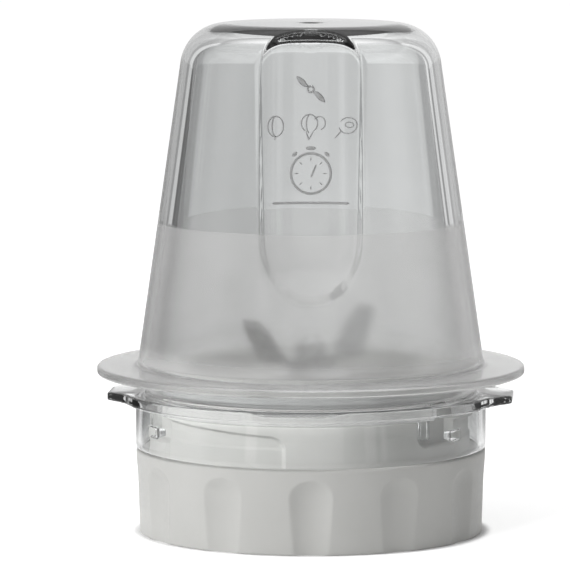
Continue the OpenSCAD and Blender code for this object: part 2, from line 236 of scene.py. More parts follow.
def sector_piece(name, outline, start, width, columns, body, slot):
    """A piece of a ring with a closed outline, capped at both ends and with softened edges."""
    grid = spun(outline, np.linspace(start, start + width, columns))
    rows = len(outline)
    faces = []
    for i in range(rows):
        up = (i + 1) % rows
        for j in range(columns - 1):
            k = j + 1
            faces.append((i * columns + j, i * columns + k, up * columns + k, up * columns + j))
    faces.append([i * columns for i in range(rows)])
    faces.append([i * columns + columns - 1 for i in reversed(range(rows))])
    piece = mesh_object(name, grid.reshape(-1, 3), faces, body)
    outward(piece.data)
    edges = piece.modifiers.new("edges", "BEVEL")
    edges.width, edges.segments, edges.limit_method = EDGE_BEVEL * MM, 2, "ANGLE"
    return piece


# ---------------------------------------------------------------- beaker
SHOULDER_Z = TOP_Z - SHOULDER_R
SHOULDER_C = body_r(SHOULDER_Z) - SHOULDER_R / math.cos(math.atan(BODY_SLOPE))
BODY_ANGLE = math.degrees(math.atan(BODY_SLOPE))
CAVITY_Z = FLANGE_TOP - 1.5
GATE_R, GATE_DEPTH, GATE_EDGE = 3.5, 0.5, 0.4
# Each point's way out of the groove's hollow is at most DEEPEST_PRESS, and is found by halving.
RIM_BLEND, DEEPEST_PRESS, HALVINGS = 0.35, 16.0, 40
BEAKER_COLUMNS, BEAKER_CROWDING = 380, 0.7
# Longest steps along the outlines.
FLANGE_STEP, BODY_STEP, TOP_STEP, CAVITY_STEP, CEILING_STEP = 2.0, 1.0, 1.2, 1.2, 1.4


def groove_axis():
    """Ends of the line that the groove's round hollow is drawn about."""
    half = GROOVE_W / 2
    reach = math.sqrt(GROOVE_R ** 2 - half ** 2)
    ends = []
    for z in (GROOVE_LOW_Z + half, GROOVE_TOP_Z - half):
        ends.append(np.array([0.0, -math.sqrt(body_r(z) ** 2 - half ** 2) - reach, z]))
    return ends


def pressed_in(points, inward, radius):
    """The points, moved along inward until they leave the groove's hollow, with a rounded rim."""
    low, high = groove_axis()
    along = high - low

    def depth_left(move):
        at = points + inward * move[:, None]
        share = np.clip(((at - low) @ along) / (along @ along), 0, 1)
        gap = np.linalg.norm(at - low - share[:, None] * along, axis=1) - radius
        return smooth_max(-move, -gap, RIM_BLEND)

    near, far = np.zeros(len(points)), np.full(len(points), DEEPEST_PRESS)
    for _ in range(HALVINGS):
        middle = (near + far) / 2
        inside = depth_left(middle) > 0
        near, far = np.where(inside, middle, near), np.where(inside, far, middle)
    move = np.where(depth_left(np.zeros(len(points))) > 1e-6, far, 0.0)
    return points + inward * move[:, None]


def grooved(outline, angles, radius):
    """The turned outline, traced upwards, with the groove pressed into it."""
    points = np.array(outline)
    slope = np.gradient(points, axis=0)
    slope /= np.maximum(np.linalg.norm(slope, axis=1), 1e-9)[:, None]
    grid = spun(outline, angles)
    turn = np.broadcast_to(np.asarray(angles)[None, :], grid.shape[:2])
    inward = np.stack([
        -slope[:, 1][:, None] * np.cos(turn),
        -slope[:, 1][:, None] * np.sin(turn),
        np.broadcast_to(slope[:, 0][:, None], turn.shape),
    ], axis=-1)
    reached = points[:, 1] > GROOVE_LOW_Z - 12
    moved = pressed_in(grid[reached].reshape(-1, 3), inward[reached].reshape(-1, 3), radius)
    grid[reached] = moved.reshape(grid[reached].shape)
    return grid


def shoulder(inset, start):
    """The round shoulder, inset from the outside, from the angle start up to the top."""
    return arc((SHOULDER_C, SHOULDER_Z), SHOULDER_R - inset, start, 90, 26)


def cavity_angle():
    """Slope in degrees of the hollow's side, a straight draft from the skirt's bore to the shoulder."""
    run, rise = SKIRT_BORE_R - SHOULDER_C, CAVITY_Z - SHOULDER_Z
    return math.degrees(math.atan2(rise, run) + math.acos((SHOULDER_R - WALL) / math.hypot(run, rise)))


def beaker_outside():
    """The beaker's outer outline, upwards from the skirt's shoulder to the middle of the top."""
    below = rounded([
        (SKIRT_BORE_R, SKIRT_SHOULDER_Z, 0),
        (SKIRT_SHOULDER_R, SKIRT_SHOULDER_Z, 0.3),
        (SKIRT_SHOULDER_R, FLANGE_Z, 0.8),
        (FLANGE_R, FLANGE_Z, 0.9),
        (FLANGE_R, FLANGE_TOP, 0.9),
        (body_r(FLANGE_TOP), FLANGE_TOP, 1.6),
        (body_r(FROST_Z), FROST_Z, 0),
    ])
    above = [below[-1]] + shoulder(0, BODY_ANGLE)
    outline = refined(below, FLANGE_STEP) + refined(above, BODY_STEP)[1:]
    outline += refined([outline[-1], (GATE_R + GATE_EDGE, TOP_Z)], TOP_STEP)[1:]
    gate_z = TOP_Z - GATE_DEPTH
    return outline + [(GATE_R, TOP_Z - 0.1), (GATE_R - 0.3, gate_z), (0.0, gate_z)]


def beaker_inside():
    """The hollow's outline, upwards from the skirt to the middle of the ceiling."""
    side = [(SKIRT_BORE_R, SKIRT_SHOULDER_Z), (SKIRT_BORE_R, CAVITY_Z)] + shoulder(WALL, cavity_angle())
    outline = refined(side, CAVITY_STEP)
    return outline + refined([outline[-1], (0.0, TOP_Z - WALL)], CEILING_STEP)[1:]


def make_beaker():
    """The beaker above its skirt, frosted on the outside up to FROST_Z."""
    outside = beaker_outside()
    angles = crowded_angles(BEAKER_COLUMNS, FRONT, BEAKER_CROWDING)
    outer = grooved(outside, angles, GROOVE_R)
    inner = grooved(beaker_inside(), angles, GROOVE_R + WALL)[::-1]
    grid = np.concatenate([outer, inner])
    faces = grid_faces(len(grid), len(angles))
    piece = mesh_object("beaker_body", grid.reshape(-1, 3), faces, "beaker", ["beaker"])
    piece.data.materials.append(beaker_plastic())
    piece.data.materials.append(frosted_plastic())
    frosted_rows = sum(1 for p in outside if p[1] < FROST_Z - 0.01)
    frosted = np.arange(len(faces)) // len(angles) < frosted_rows
    piece.data.polygons.foreach_set("material_index", frosted.astype(np.int32))
    outward(piece.data)


def make_skirt():
    """The skirt's lower end: three arcs with a bead, and a key beside each gap."""
    lower = rounded([
        (SKIRT_BORE_R, SKIRT_Z, 0),
        (BEAD_R, SKIRT_Z, 0.3),
        (BEAD_R, SKIRT_Z + BEAD_H, 0.3),
        (SKIRT_R, SKIRT_Z + BEAD_H, 0.2),
        (SKIRT_R, SKIRT_SHOULDER_Z, 0),
        (SKIRT_BORE_R, SKIRT_SHOULDER_Z, 0),
    ])
    key = rounded([
        (SKIRT_BORE_R + 0.1, KEY_Z, 0),
        (SKIRT_R - 0.8, KEY_Z, 0.3),
        (SKIRT_R - 0.8, SKIRT_Z, 0),
        (SKIRT_BORE_R + 0.1, SKIRT_Z, 0),
    ])
    arc_w = THIRD - WINDOW_W + TONGUE_GAP + TONGUE_W
    held = ("beaker", "beaker_plastic")
    for k in range(3):
        window = WINDOW_START + THIRD * k
        skirt = sector_piece(f"skirt_arc_{k}", lower, window + WINDOW_W, arc_w, 60, *held)
        tongue = sector_piece(f"skirt_key_{k}", key, window + TONGUE_GAP, TONGUE_W, 6, *held)
        skirt.data.materials.append(frosted_plastic())
        tongue.data.materials.append(beaker_plastic())


# ---------------------------------------------------------------- marks moulded in the groove
MARK_R, MARK_H, MARK_LIFT = 0.2, 0.2, 0.05
WING_MARK_R, HUB_MARK_R, FILL_MARK_R = 0.85, 0.3, 0.34
DIAL_MARK_R, BUTTON_MARK_R, HAND_MARK_R = 0.36, 0.5, 0.26
MARK_STEP, MARK_SIDES, TIP_SHARE = 0.6, 6, 0.2
BLADE_MARK_Z, FOOD_MARK_X, FOOD_MARK_Z = 136.8, 10.4, 126.0
TIMER_MARK_Z, TIMER_MARK_R = 112.1, 5.9
FILL_MARK_Z, FILL_MARK_W = 103.5, 22.8


def on_groove(x, z, lift):
    """A point lift millimetres off the groove's outer face."""
    low, high = groove_axis()
    share = (z - low[2]) / (high[2] - low[2])
    axis_y = low[1] + (high[1] - low[1]) * share
    return (x, axis_y + math.sqrt((GROOVE_R - lift) ** 2 - x * x), z)


def bead(name, path, radius, closed, leaf):
    """A low bead along a path of points, closed on itself or with narrow ends. A leaf is widest halfway."""
    points = [Vector(p) for p in path]
    count, sides = len(points), MARK_SIDES
    verts, faces = [], []
    for i, here in enumerate(points):
        before = points[i - 1] if closed or i else here
        after = points[(i + 1) % count] if closed or i < count - 1 else here
        along = (after - before).normalized()
        across = along.cross(Vector((0, 1, 0))).normalized()
        out = across.cross(along)
        thick = radius if closed or 0 < i < count - 1 else radius * TIP_SHARE
        if leaf:
            thick = radius * (TIP_SHARE + (1 - TIP_SHARE) * math.sin(math.pi * i / (count - 1)))
        high = min(thick, MARK_H)
        for k in range(sides):
            turn = math.tau * k / sides
            verts.append(here + across * math.cos(turn) * thick + out * math.sin(turn) * high)
    for i in range(count if closed else count - 1):
        up = (i + 1) % count
        for k in range(sides):
            n = (k + 1) % sides
            faces.append((i * sides + k, i * sides + n, up * sides + n, up * sides + k))
    if not closed:
        faces += [list(range(sides)), list(reversed(range(count * sides - sides, count * sides)))]
    piece = mesh_object(name, verts, faces, "beaker")
    outward(piece.data)
    return piece


def mark(name, outline, radius=MARK_R, closed=False, leaf=False):
    """A raised line in the groove from (across, height) points."""
    line = refined(outline + outline[:1] if closed else outline, MARK_STEP)
    line = line[:-1] if closed else line
    piece = bead(name, [on_groove(x, z, MARK_LIFT) for x, z in line], radius, closed, leaf)
    piece.data.materials.append(mark_plastic())


def oval(x, z, half_w, half_h, start=0, end=360, lean=0.0):
    """Points of an ellipse, turned by lean degrees."""
    cos, sin = math.cos(math.radians(lean)), math.sin(math.radians(lean))
    flat = [(px * half_w, pz * half_h) for px, pz in arc((0, 0), 1.0, start, end, 28)]
    return [(x + px * cos - pz * sin, z + px * sin + pz * cos) for px, pz in flat]


def make_marks():
    """Generic pictures of a blade, three foods and a timer, and a fill line."""
    mark_blade(BLADE_MARK_Z)
    mark_foods(FOOD_MARK_X, FOOD_MARK_Z)
    mark_timer(TIMER_MARK_Z, TIMER_MARK_R)
    ends = [(side * FILL_MARK_W / 2, FILL_MARK_Z) for side in (-1, 1)]
    mark("mark_fill_line", ends, FILL_MARK_R)


def mark_blade(blade_z):
    """Two leaf-shaped wings on a round hub."""
    half_wing = [(0.6, 0.8), (1.6, 1.2), (4.2, 3.8)]
    for k, side in enumerate((1, -1)):
        wing = [(-across * side, blade_z + up * side) for across, up in half_wing]
        mark(f"mark_blade_wing_{k}", wing, WING_MARK_R, leaf=True)
    mark("mark_blade_hub", oval(0, blade_z, 0.9, 0.9)[:-1], HUB_MARK_R, True)


def mark_foods(food_x, food_z):
    """An onion, a bulb with a clove and a pear, side by side."""
    mark("mark_onion", oval(-food_x, food_z, 2.3, 3.0)[:-1], MARK_R, True)
    mark("mark_onion_skin", oval(-food_x, food_z, 1.0, 2.9, 90, 270))
    mark("mark_onion_root", [(-food_x, food_z - 2.8), (-food_x - 0.3, food_z - 4.0)])
    mark("mark_bulb", oval(-0.4, food_z + 0.8, 2.4, 2.6, -60, 240))
    mark("mark_bulb_stalk", [(-1.5, food_z - 1.4), (-0.6, food_z - 4.0), (0.8, food_z - 1.4)])
    mark("mark_bulb_rib", oval(-0.4, food_z + 0.6, 0.9, 2.6, 90, 260))
    mark("mark_clove", oval(2.6, food_z + 0.9, 1.7, 1.9, -80, 150))
    mark("mark_pear", oval(food_x + 0.6, food_z + 0.3, 2.7, 2.3, -190, 130, 20))
    mark("mark_pear_stem", [(food_x - 1.4, food_z - 1.4), (food_x - 3.4, food_z - 3.6)])
    mark("mark_pear_core", oval(food_x + 1.0, food_z + 0.5, 1.2, 0.8)[:-1], MARK_R, True)


def mark_timer(timer_z, timer_r):
    """A round dial with three buttons, plain ticks and a hand."""
    mark("mark_timer", oval(0, timer_z, timer_r, timer_r)[:-1], DIAL_MARK_R, True)
    away = timer_r + 1.5
    for k, (turn, reach) in enumerate(((50, 0.9), (90, 1.5), (130, 0.9))):
        across, up = math.cos(math.radians(turn)), math.sin(math.radians(turn))
        ends = [(away * across - side * reach * up, timer_z + away * up + side * reach * across)
                for side in (1, -1)]
        mark(f"mark_timer_button_{k}", ends, BUTTON_MARK_R)
    ticks = 8
    for k in range(ticks):
        turn = math.tau / ticks * k
        ends = [(r * math.cos(turn), timer_z + r * math.sin(turn)) for r in (3.6, 4.8)]
        mark(f"mark_timer_tick_{k}", ends)
    mark("mark_timer_hand", [(0, timer_z - 1.2), (1.6, timer_z + 2.6)], HAND_MARK_R)


# ---------------------------------------------------------------- collar
COLLAR_COLUMNS = 600
TAB_THINNING, TAB_ROOT_BLEND, TAB_CORNER = 0.2, 1.4, 0.8
NIB_EDGE, NIB_ROW = 0.5, 0.28
NIB_ROWS_LOW_Z, NIB_ROWS_TOP_Z = 30.5, 35.5


def tab_reach(turn):
    """The ring's outer radius at each angle: a circle with four tabs blended into it."""
    quarter = math.pi / 2
    off = np.abs((turn - TAB_ANGLE + quarter / 2) % quarter - quarter / 2)
    end = TAB_R / np.cos(off)
    tip = np.array([TAB_R, TAB_END_W / 2])
    root = np.array([math.sqrt(RING_R ** 2 - (TAB_ROOT_W / 2) ** 2), TAB_ROOT_W / 2])
    along = root - tip
    normal = np.array([along[1], -along[0]]) / np.linalg.norm(along)
    side = (normal @ tip) / (normal[0] * np.cos(off) + normal[1] * np.sin(off))
    return smooth_max(np.full_like(off, RING_R), smooth_min(end, side, TAB_CORNER), TAB_ROOT_BLEND)


def collar_shape(r, z, turn):
    """Adds the tabs to the ring and the nibs to the bore."""
    share = np.clip((r - COLLAR_R) / (RING_R - COLLAR_R), 0, None)
    reach = tab_reach(turn)
    r_out = COLLAR_R + share * (reach - COLLAR_R)
    thin = 1 - TAB_THINNING * np.clip((reach - RING_R) / 2, 0, 1) * np.clip(share, 0, 1)
    middle = RING_Z + RING_T / 2
    tabbed = (r > COLLAR_R + 0.4) & (z > RING_Z - 0.5)
    r, z = np.where(tabbed, r_out, r), np.where(tabbed, middle + (z - middle) * thin, z)
    across = (turn - NIB_START + THIRD / 2) % THIRD - THIRD / 2
    inside = np.minimum(across, NIB_W - across) * COLLAR_BORE_R
    inside = np.minimum(inside, np.minimum(z - NIB_Z, NIB_Z + NIB_H - z))
    bore = np.abs(r - COLLAR_BORE_R) < 0.01
    return np.where(bore, r - (COLLAR_BORE_R - NIB_R) * eased(inside, NIB_EDGE), r), z


def make_collar():
    """The clear ring with its tabs and nibs. The bore has closer rows where the nibs are."""
    outline = rounded([
        (COLLAR_BORE_R, NIB_ROWS_LOW_Z, 0),
        (COLLAR_BORE_R, COLLAR_FOOT_Z, 0.5),
        (COLLAR_R, COLLAR_FOOT_Z, 0.9),
        (COLLAR_R, RING_Z, 0.5),
        (RING_R, RING_Z, 0.5),
        (RING_R, RING_TOP_Z, 0.5),
        (RING_BORE_R, RING_TOP_Z, 0.4),
        (RING_BORE_R, RING_Z, 0.3),
        (COLLAR_BORE_R, RING_Z, 0.3),
        (COLLAR_BORE_R, NIB_ROWS_TOP_Z, 0),
    ])
    bore = refined([outline[-1], outline[0]], NIB_ROW)[1:-1]
    outline = refined(outline, 1.0) + bore
    collar = turned_piece("collar_ring", outline, even_angles(COLLAR_COLUMNS), "collar",
                          ["locking_collar"], collar_shape)
    collar.data.materials.append(collar_plastic())


# ---------------------------------------------------------------- base
FLUTES, FLUTE_W, FLUTE_DEPTH, FLUTE_TOP_Z = 12, 14.2, 2.0, 22.6
SAG = FLUTE_DEPTH - (BASE_R - math.sqrt(BASE_R ** 2 - (FLUTE_W / 2) ** 2))
FLUTE_R = ((FLUTE_W / 2) ** 2 + SAG ** 2) / (2 * SAG)
FLUTE_C = BASE_R - FLUTE_DEPTH + FLUTE_R
FLUTE_RISE = math.sqrt(2 * FLUTE_R * FLUTE_DEPTH - FLUTE_DEPTH ** 2)
FLUTE_SQUASH = 1.35
FLUTE_TURN_Z = FLUTE_TOP_Z - FLUTE_RISE / FLUTE_SQUASH
WALL_INNER_R, WEB_Z, HUB_HOLE_R, HUB_R, HUB_Z = 48.0, 23.0, 20.0, 23.0, 12.0
TRACK_DEPTH, RELIEF_DEPTH = 1.1, 0.6
ROOF_Z, ROOF_SLOPE = 35.8, math.tan(math.radians(3.5))
LEFT_CORNER, RIGHT_CORNER, TRACK_CORNER, PRESSED_EDGE = 3.2, 0.6, 4.0, 0.4
NECK_STEP, SIDE_STEP, PLAIN_STEP = 0.35, 0.4, 5.0
FLUTE_BLEND = 0.12


def fluted(r, z, turn):
    """The side's radius where a flute cuts into it."""
    step = math.tau / FLUTES
    off = (turn - FRONT + step / 2) % step - step / 2
    rise = np.maximum(z - FLUTE_TURN_Z, 0) * FLUTE_SQUASH
    root = (FLUTE_C * np.cos(off)) ** 2 - (FLUTE_C ** 2 + rise ** 2 - FLUTE_R ** 2)
    cut = FLUTE_C * np.cos(off) - np.sqrt(np.maximum(root, 0))
    return smooth_min(r, cut, FLUTE_BLEND)


def flute_angles():
    """Even columns, with more of them within half a degree of the flutes' edges."""
    half = math.asin(FLUTE_W / 2 / BASE_R)
    near = np.radians([-0.45, -0.2, -0.1, 0.0, 0.1, 0.2, 0.45])
    extra = [FRONT + math.tau / FLUTES * k + side * half + near for k in range(FLUTES) for side in (-1, 1)]
    turns = np.concatenate([even_angles(480), *extra])
    turns = np.unique(np.round((turns + math.pi) % math.tau, 5))
    return turns[np.diff(turns, append=turns[0] + math.tau) > 0.0005] - math.pi


def corner_inside(a, b, radius):
    """How far inside a rounded corner a point lies, from its distances a and b to the two sides."""
    return radius - np.hypot(np.maximum(radius - a, 0), np.maximum(radius - b, 0))


def bayonet_depth(z, turn):
    """Depth of the neck's windows, tracks and reliefs."""
    before = math.radians(10)
    s = ((turn - WINDOW_START + before) % THIRD - before) * NECK_R
    window_w, end = WINDOW_W * NECK_R, (WINDOW_W + TRACK_W) * NECK_R
    roof = ROOF_Z - ROOF_SLOPE * (s - (window_w + end) / 2)
    left = corner_inside(s, z - SILL_Z, LEFT_CORNER)
    right = corner_inside(window_w - s, z - SILL_Z, RIGHT_CORNER)
    window = np.minimum(np.minimum(left, right), np.minimum(s, window_w - s))
    under_roof = corner_inside(end - s, roof - z, TRACK_CORNER)
    track = np.minimum(under_roof, np.minimum(z - TRACK_Z, s - window_w + 1))
    relief = np.minimum(under_roof, np.minimum(s - window_w, z - DECK_Z))
    deep = (NECK_R - NECK_BORE_R - 0.1) * eased(window, PRESSED_EDGE)
    shallow = np.maximum(TRACK_DEPTH * eased(track, PRESSED_EDGE), RELIEF_DEPTH * eased(relief, PRESSED_EDGE))
    return np.maximum(deep, shallow)


def base_shape(r, z, turn):
    """Presses the flutes into the side, and the windows and tracks into the neck."""
    side = (r > WALL_INNER_R + 0.3) & (z < DECK_Z + 0.01)
    neck = (r > NECK_BORE_R + 0.2) & (z > DECK_Z + 0.3)
    pressed = np.maximum(r - bayonet_depth(z, turn), NECK_BORE_R + 0.1)
    return np.where(side, fluted(r, z, turn), np.where(neck, np.minimum(r, pressed), r)), z


def make_base():
    """The base shell, with closer rows on the side and the neck than inside."""
    outline = rounded([
        (WALL_INNER_R, 10.0, 0),
        (WALL_INNER_R, 0.0, 0.4),
        (FOOT_R, 0.0, 0.5),
        (BASE_R, DECK_Z, 0.7),
        (NECK_R, DECK_Z, 0.3),
        (NECK_R, NECK_TOP_Z, 0.4),
        (NECK_BORE_R, NECK_TOP_Z, 0.3),
        (NECK_BORE_R, DECK_Z, 0.2),
        (HUB_HOLE_R, DECK_Z, 0.3),
        (HUB_HOLE_R, HUB_Z, 0.4),
        (HUB_R, HUB_Z, 0.4),
        (HUB_R, WEB_Z, 0.6),
        (WALL_INNER_R, WEB_Z, 1.0),
    ], 4)
    fine = []
    for a, b in zip(outline, outline[1:] + outline[:1]):
        on_neck = a[0] > NECK_R - 0.5 and b[0] < NECK_R + 0.5 and a[1] > DECK_Z - 0.1
        on_side = min(a[0], b[0]) > FOOT_R - 0.6 and max(a[1], b[1]) < DECK_Z + 0.1
        step = NECK_STEP if on_neck else SIDE_STEP if on_side else PLAIN_STEP
        fine += refined([a, b], step)[:-1]
    base = turned_piece("base_body", fine, flute_angles(), "base",
                        ["base_shell"], base_shape)
    base.data.materials.append(grey_plastic())


# ---------------------------------------------------------------- materials
PLASTIC_IOR = 1.53
FROST_CLARITY, FOOT_HAZE = 0.86, 0.25
HAZE_START = (FLANGE_TOP + 0.2, FLANGE_TOP + 2)
HAZE_END = (FLANGE_TOP + 2, FLANGE_TOP + 8)


def new_material(name):
    """A node material with only a Principled shader joined to its output."""
    name += "_finish"
    if name in bpy.data.materials:
        return bpy.data.materials[name], None, None, None
    material = bpy.data.materials.new(name)
    material.use_nodes = True
    nodes, links = material.node_tree.nodes, material.node_tree.links
    return material, nodes, links, nodes["Principled BSDF"]


def axes(nodes, links, output="Object"):
    """The sockets X, Y and Z of a place on the object, or of a direction in the world."""
    place = nodes.new("ShaderNodeTexCoord")
    split = nodes.new("ShaderNodeSeparateXYZ")
    links.new(place.outputs[output], split.inputs["Vector"])
    return [split.outputs[axis] for axis in "XYZ"]


def noise(nodes, links, scale, detail=3.0, stretch=(1, 1, 1)):
    """A noise pattern fixed to the object, with scale in features per metre."""
    place = nodes.new("ShaderNodeTexCoord")
    mapping = nodes.new("ShaderNodeMapping")
    mapping.inputs["Scale"].default_value = stretch
    pattern = nodes.new("ShaderNodeTexNoise")
    pattern.inputs["Scale"].default_value = scale
    pattern.inputs["Detail"].default_value = detail
    links.new(place.outputs["Object"], mapping.inputs["Vector"])
    links.new(mapping.outputs["Vector"], pattern.inputs["Vector"])
    return pattern.outputs["Fac"]


def ranged(nodes, links, value, low, high):
    """value spread over low to high."""
    spread = nodes.new("ShaderNodeMapRange")
    spread.inputs["From Min"].default_value = 0.3
    spread.inputs["From Max"].default_value = 0.7
    spread.inputs["To Min"].default_value = low
    spread.inputs["To Max"].default_value = high
    links.new(value, spread.inputs["Value"])
    return spread.outputs["Result"]


def shaded(nodes, links, value, dark, light):
    """A colour between dark and light."""
    ramp = nodes.new("ShaderNodeValToRGB")
    ramp.color_ramp.elements[0].position, ramp.color_ramp.elements[1].position = 0.35, 0.65
    ramp.color_ramp.elements[0].color = (*dark, 1)
    ramp.color_ramp.elements[1].color = (*light, 1)
    links.new(value, ramp.inputs["Fac"])
    return ramp.outputs["Color"]


def bumped(nodes, links, shader, height, depth_mm, strength):
    """Gives the shader a relief of depth_mm."""
    bump = nodes.new("ShaderNodeBump")
    bump.inputs["Strength"].default_value = strength
    bump.inputs["Distance"].default_value = depth_mm * MM
    links.new(height, bump.inputs["Height"])
    links.new(bump.outputs["Normal"], shader.inputs["Normal"])


def darker_edge(nodes, links, colour, edge):
    """The colour, multiplied by edge where the surface is seen at a glancing angle."""
    weight = nodes.new("ShaderNodeLayerWeight")
    weight.inputs["Blend"].default_value = 0.22
    mix = nodes.new("ShaderNodeMix")
    mix.data_type, mix.blend_type = "RGBA", "MULTIPLY"
    colours = [i for i in mix.inputs if i.type == "RGBA"]
    colours[1].default_value = (edge, edge, edge, 1)
    links.new(weight.outputs["Facing"], mix.inputs["Factor"])
    links.new(colour, colours[0])
    return [o for o in mix.outputs if o.type == "RGBA"][0]


def lets_light_through(nodes, links, shader, tint):
    """Lets lamps shine through a clear wall, where refraction alone would leave it in shade."""
    path = nodes.new("ShaderNodeLightPath")
    through = nodes.new("ShaderNodeBsdfTransparent")
    through.inputs["Color"].default_value = (tint, tint, tint, 1)
    mix = nodes.new("ShaderNodeMixShader")
    links.new(path.outputs["Is Shadow Ray"], mix.inputs["Fac"])
    links.new(shader.outputs["BSDF"], mix.inputs[1])
    links.new(through.outputs["BSDF"], mix.inputs[2])
    links.new(mix.outputs["Shader"], nodes["Material Output"].inputs["Surface"])


def clear(name, tint, edge, lamps):
    """A clear moulded plastic.

    It lets through a share tint of the light, edge of that at a glancing angle, and lamps of a lamp's."""
    material, nodes, links, shader = new_material(name)
    if shader is None:
        return material
    tone = noise(nodes, links, 60, 1)
    light = (tint, tint + 0.01, tint + 0.01)
    dark = tuple(c - 0.02 for c in light)
    colour = shaded(nodes, links, tone, dark, light)
    links.new(darker_edge(nodes, links, colour, edge), shader.inputs["Base Color"])
    shader.inputs["Transmission Weight"].default_value = 1.0
    shader.inputs["IOR"].default_value = PLASTIC_IOR
    links.new(ranged(nodes, links, noise(nodes, links, 90, 1), 0.0, 0.015), shader.inputs["Roughness"])
    bumped(nodes, links, shader, noise(nodes, links, 60, 0), 0.02, 0.12)
    lets_light_through(nodes, links, shader, lamps)
    return material


def beaker_plastic():
    return clear("clear_grey_plastic", 0.945, 0.66, 0.98)


def mark_plastic():
    """The matt face of a raised mark."""
    material, nodes, links, shader = new_material("mark_plastic")
    if shader is None:
        return material
    tone = noise(nodes, links, 400, 2)
    links.new(shaded(nodes, links, tone, (0.46,) * 3, (0.52,) * 3), shader.inputs["Base Color"])
    shader.inputs["Transmission Weight"].default_value = 0.7
    shader.inputs["IOR"].default_value = 1.2
    links.new(ranged(nodes, links, tone, 0.3, 0.4), shader.inputs["Roughness"])
    return material


def collar_plastic():
    return clear("clear_plastic", 0.98, 0.88, 1.25)


def frosted_plastic():
    """The beaker's fine matt outside, hazier just above the flange, where the plastic is thicker."""
    material, nodes, links, shader = new_material("frosted_plastic")
    if shader is None:
        return material
    tone = noise(nodes, links, 120, 2)
    colour = shaded(nodes, links, tone, (0.74, 0.74, 0.735), (0.77, 0.77, 0.765))
    links.new(colour, shader.inputs["Base Color"])
    _, _, z = axes(nodes, links)
    above = ramped(nodes, links, z, *(edge * MM for edge in HAZE_START))
    below = ramped(nodes, links, z, *(edge * MM for edge in HAZE_END), 1.0, 0.0)
    foot = maths(nodes, links, "MULTIPLY", above, below)
    clarity = maths(nodes, links, "MULTIPLY_ADD", foot, -FOOT_HAZE, FROST_CLARITY)
    links.new(clarity, shader.inputs["Transmission Weight"])
    shader.inputs["IOR"].default_value = PLASTIC_IOR
    links.new(ranged(nodes, links, noise(nodes, links, 60, 1), 0.2, 0.24), shader.inputs["Roughness"])
    lets_light_through(nodes, links, shader, 1.12)
    return material


def grey_plastic():
    """The base's opaque plastic with a fine grain."""
    material, nodes, links, shader = new_material("grey_plastic")
    if shader is None:
        return material
    tone = noise(nodes, links, 45, 3)
    colour = shaded(nodes, links, tone, (0.41, 0.41, 0.397), (0.43, 0.43, 0.417))
    links.new(colour, shader.inputs["Base Color"])
    links.new(ranged(nodes, links, noise(nodes, links, 700), 0.42, 0.56), shader.inputs["Roughness"])
    shader.inputs["IOR"].default_value = 1.49
    bumped(nodes, links, shader, noise(nodes, links, 3200, 4), 0.03, 0.35)
    return material


def steel(name, tone_low, tone_high, stretch, rough):
    """A steel with grain along the axis that stretch makes smallest."""
    material, nodes, links, shader = new_material(name)
    if shader is None:
        return material
    grain = noise(nodes, links, 900, 5, stretch)
    links.new(shaded(nodes, links, grain, (tone_low,) * 3, (tone_high,) * 3), shader.inputs["Base Color"])
    shader.inputs["Metallic"].default_value = 1.0
    links.new(ranged(nodes, links, grain, rough, rough + 0.12), shader.inputs["Roughness"])
    bumped(nodes, links, shader, grain, 0.02, 0.3)
    return material


def blade_steel():
    return steel("blade_steel", 0.36, 0.46, (0.12, 1, 1), 0.24)


def turned_steel():
    return steel("turned_steel", 0.58, 0.66, (1, 1, 0.1), 0.22)


def simple(name, dark, light, scale, rough_low, rough_high, depth_mm):
    """An opaque moulded or sintered material with a fine surface."""
    material, nodes, links, shader = new_material(name)
    if shader is None:
        return material
    links.new(shaded(nodes, links, noise(nodes, links, scale), dark, light), shader.inputs["Base Color"])
    links.new(ranged(nodes, links, noise(nodes, links, scale * 5), rough_low, rough_high),
              shader.inputs["Roughness"])
    bumped(nodes, links, shader, noise(nodes, links, scale * 12, 4), depth_mm, 0.4)
    return material


def seal_rubber():
    return simple("seal_rubber", (0.36, 0.37, 0.37), (0.42, 0.43, 0.43), 120, 0.5, 0.65, 0.02)


def dark_nylon():
    return simple("dark_nylon", (0.035, 0.036, 0.04), (0.055, 0.056, 0.06), 160, 0.4, 0.55, 0.03)


def bush_bronze():
    material = simple("bush_bronze", (0.42, 0.28, 0.12), (0.55, 0.39, 0.18), 500, 0.35, 0.5, 0.03)
    material.node_tree.nodes["Principled BSDF"].inputs["Metallic"].default_value = 1.0
    return material


FINISHES = {
    "grey_plastic": grey_plastic,
    "stainless": turned_steel,
    "blade_steel": blade_steel,
    "bush_bronze": bush_bronze,
    "seal_rubber": seal_rubber,
    "coupling_plastic": dark_nylon,
    "beaker_plastic": beaker_plastic,
    "collar_plastic": collar_plastic,
}


def finish_cad_nodes():
    """Gives each carried-over CAD node the full version of its record material."""
    slots = {s["node"]: s["material_slot"] for s in frame["record"]["subparts"]}
    for name, node in frame["nodes"].items():
        finish = FINISHES[slots[name]]()
        if not node.material_slots:
            node.data.materials.append(finish)
        for place in node.material_slots:
            place.material = finish


